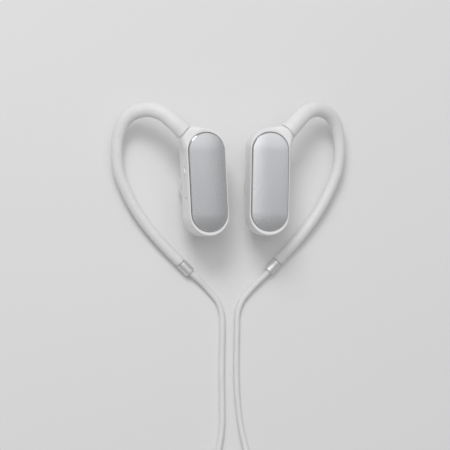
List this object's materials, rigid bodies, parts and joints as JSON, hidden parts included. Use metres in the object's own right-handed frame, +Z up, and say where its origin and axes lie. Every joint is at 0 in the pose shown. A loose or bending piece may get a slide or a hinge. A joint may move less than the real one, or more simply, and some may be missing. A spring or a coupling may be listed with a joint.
{
  "type": "neckband earphones",
  "caption": "Wireless in-ear neckband earphones: pill-shaped pods with metal face plates, rubber ear hooks and a thin cord joining them.",
  "frame": {"origin": "middle of the two ear units' footprint, on the surface that they lie on", "axes": "+X towards the wearer's left unit, +Y towards the tops of the ear hooks, +Z up, out of the face plates"},
  "size_m": [0.0794, 0.1658, 0.0194],
  "materials": {
    "white_shell": "white moulded plastic, satin gloss",
    "white_rubber": "soft white silicone rubber, matte",
    "cord_sheath": "soft white elastomer sheath, matte",
    "clear_silicone": "milky translucent silicone",
    "silver_plate": "fine bead-blasted, silver anodised, bright cut edge",
    "satin_metal": "satin silver",
    "steel": "plain steel",
    "dark_mesh": "woven dark metal gauze",
    "black_foam": "black closed-cell foam",
    "circuit_green": "solder-masked circuit board",
    "chip_black": "black moulded chip",
    "copper": "enamelled copper wire",
    "foil": "silver laminated foil",
    "light_guide": "clear to milky polycarbonate",
    "tie_grey": "light grey woven hook-and-loop strap",
    "ceramic": "unglazed ceramic"
  },
  "bodies": {
    "headset": {"battery": "foil", "battery_board": "circuit_green", "bluetooth_module": "chip_black", "chip_antenna": "ceramic", "cord_hank": "cord_sheath", "cord_tie": "tie_grey", "function_switch": "steel", "left_driver_coil": "copper", "left_driver_diaphragm": "light_guide", "left_driver_frame": "steel", "left_driver_magnet": "steel", "left_ear_hook": "white_rubber", "left_ear_tip": "clear_silicone", "left_end_ring": "satin_metal", "left_face_plate": "silver_plate", "left_hook_anchor": "steel", "left_hook_memory_wire": "steel", "left_hook_signal_lead": "copper", "left_inner_shell": "white_shell", "left_neck_cord": "cord_sheath", "left_nozzle_mesh": "dark_mesh", "left_outer_shell": "white_shell", "left_plate_tape": "black_foam", "left_shell_gasket": "black_foam", "main_circuit_board": "circuit_green", "microphone": "foil", "right_driver_coil": "copper", "right_driver_diaphragm": "light_guide", "right_driver_frame": "steel", "right_driver_magnet": "steel", "right_ear_hook": "white_rubber", "right_ear_tip": "clear_silicone", "right_end_ring": "satin_metal", "right_face_plate": "silver_plate", "right_hook_anchor": "steel", "right_hook_memory_wire": "steel", "right_hook_signal_lead": "copper", "right_inner_shell": "white_shell", "right_neck_cord": "cord_sheath", "right_nozzle_mesh": "dark_mesh", "right_outer_shell": "white_shell", "right_plate_tape": "black_foam", "right_shell_gasket": "black_foam", "status_led": "light_guide", "status_light_pipe": "light_guide", "usb_connector": "steel", "volume_down_switch": "steel", "volume_up_switch": "steel"},
    "volume_up_button": {"volume_up_key": "white_rubber"},
    "function_button": {"function_key": "white_rubber"},
    "volume_down_button": {"volume_down_key": "white_rubber"},
    "port_flap": {"port_cover": "white_rubber"}
  },
  "joints": [
    {"name": "volume_up_press", "type": "slide", "parent": "headset", "child": "volume_up_button", "axis": [-0.998, -0.0349, 0.0523], "range_m": [0, 0.0004], "stiffness_N_per_m": 4000},
    {"name": "function_press", "type": "slide", "parent": "headset", "child": "function_button", "axis": [-0.998, -0.0349, 0.0523], "range_m": [0, 0.0004], "stiffness_N_per_m": 4000},
    {"name": "volume_down_press", "type": "slide", "parent": "headset", "child": "volume_down_button", "axis": [-0.998, -0.0349, 0.0523], "range_m": [0, 0.0004], "stiffness_N_per_m": 4000},
    {"name": "port_flap_hinge", "type": "hinge", "parent": "headset", "child": "port_flap", "pos_m": [-0.0172, -0.00333, 0.01538], "axis": [0.0523, 0, 0.9986], "range_deg": [0, 105]}
  ]
}
